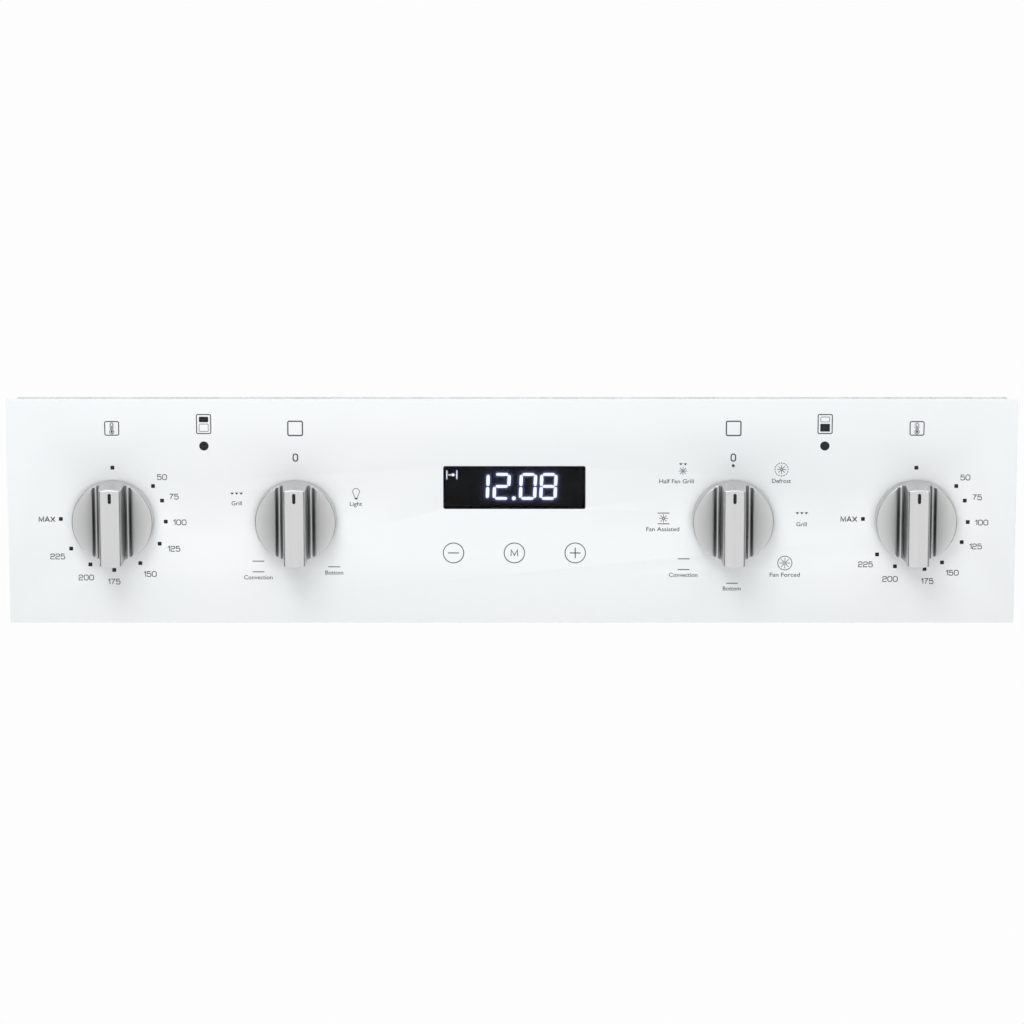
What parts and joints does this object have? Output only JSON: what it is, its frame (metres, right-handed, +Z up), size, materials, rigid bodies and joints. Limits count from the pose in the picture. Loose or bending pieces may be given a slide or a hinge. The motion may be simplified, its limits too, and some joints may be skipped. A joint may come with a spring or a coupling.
{
  "type": "wall oven control panel",
  "caption": "White glass control panel of a built-in double oven: rotary temperature and function controls, pilot lamps and a clock, on a steel carrier.",
  "frame": {"origin": "centre of the carrier's rear screw holes, on the plane where its lips meet the oven", "axes": "+X to the user's right, +Y into the oven, +Z up; the glass faces -Y"},
  "size_m": [0.595, 0.0757, 0.1348],
  "materials": {
    "white_glass": "clear glass, white enamel on its back",
    "smoked_lens": "smoked acrylic",
    "zinc_steel": "galvanised sheet",
    "foam_tape": "closed-cell foam",
    "white_moulding": "satin",
    "black_moulding": "fine spark texture",
    "bright_steel": "bright zinc plate",
    "circuit_board": "solder resist",
    "led_module": "black epoxy face, white segments",
    "transformer_tape": "yellow insulating tape",
    "relay_case": "moulded",
    "capacitor_sleeve": "shrink sleeve",
    "lamp_lens": "amber, unlit",
    "lead_sleeve": "silicone sleeve",
    "ceramic": "moulded steatite",
    "brass_tab": "bright",
    "copper_tube": "drawn copper",
    "knob_metal": "satin brushed",
    "cam_moulding": "acetal"
  },
  "bodies": {
    "panel": {"fascia_glass": "white_glass", "display_lens": "smoked_lens", "carrier_tray": "zinc_steel", "bonding_tape": "foam_tape", "hole_grommets": "white_moulding", "control_plates": "zinc_steel", "control_screws": "bright_steel", "clock_frame": "black_moulding", "clock_rear_cover": "black_moulding", "clock_screws": "bright_steel", "display_board": "circuit_board", "led_display": "led_module", "touch_springs": "bright_steel", "power_board": "circuit_board", "transformer": "transformer_tape", "relays": "relay_case", "capacitors": "capacitor_sleeve", "buzzer": "black_moulding", "clock_terminals": "white_moulding", "upper_pilot_lamp": "lamp_lens", "main_pilot_lamp": "lamp_lens", "upper_lamp_leads": "lead_sleeve", "main_lamp_leads": "lead_sleeve", "phial_clips": "black_moulding", "upper_thermostat_housing": "ceramic", "upper_thermostat_cover": "bright_steel", "upper_thermostat_terminals": "brass_tab", "upper_capillary": "copper_tube", "main_thermostat_housing": "ceramic", "main_thermostat_cover": "bright_steel", "main_thermostat_terminals": "brass_tab", "main_capillary": "copper_tube", "thermostat_diaphragms": "brass_tab", "thermostat_levers": "brass_tab", "upper_selector_housing": "white_moulding", "upper_selector_wafers": "white_moulding", "upper_selector_contacts": "brass_tab", "upper_selector_terminals": "brass_tab", "upper_selector_rear_cap": "black_moulding", "main_selector_housing": "white_moulding", "main_selector_wafers": "white_moulding", "main_selector_contacts": "brass_tab", "main_selector_terminals": "brass_tab", "main_selector_rear_cap": "black_moulding", "selector_tie_screws": "bright_steel", "selector_detents": "bright_steel"},
    "upper_temperature": {"upper_temperature_knob": "knob_metal", "upper_temperature_hub": "black_moulding", "upper_temperature_spindle": "bright_steel"},
    "main_temperature": {"main_temperature_knob": "knob_metal", "main_temperature_hub": "black_moulding", "main_temperature_spindle": "bright_steel"},
    "upper_function": {"upper_function_knob": "knob_metal", "upper_function_hub": "black_moulding", "upper_function_spindle": "bright_steel", "upper_function_cams": "cam_moulding"},
    "main_function": {"main_function_knob": "knob_metal", "main_function_hub": "black_moulding", "main_function_spindle": "bright_steel", "main_function_cams": "cam_moulding"}
  },
  "joints": [
    {"name": "upper_temperature_turn", "type": "hinge", "parent": "panel", "child": "upper_temperature", "pos_m": [-0.2355, 0, -0.0042], "axis": [0, 1, 0], "range_deg": [0, 270]},
    {"name": "upper_function_turn", "type": "hinge", "parent": "panel", "child": "upper_function", "pos_m": [-0.1276, 0, -0.0042], "axis": [0, 1, 0], "continuous": true},
    {"name": "main_function_turn", "type": "hinge", "parent": "panel", "child": "main_function", "pos_m": [0.1304, 0, -0.0042], "axis": [0, 1, 0], "continuous": true},
    {"name": "main_temperature_turn", "type": "hinge", "parent": "panel", "child": "main_temperature", "pos_m": [0.2383, 0, -0.0042], "axis": [0, 1, 0], "range_deg": [0, 270]}
  ]
}
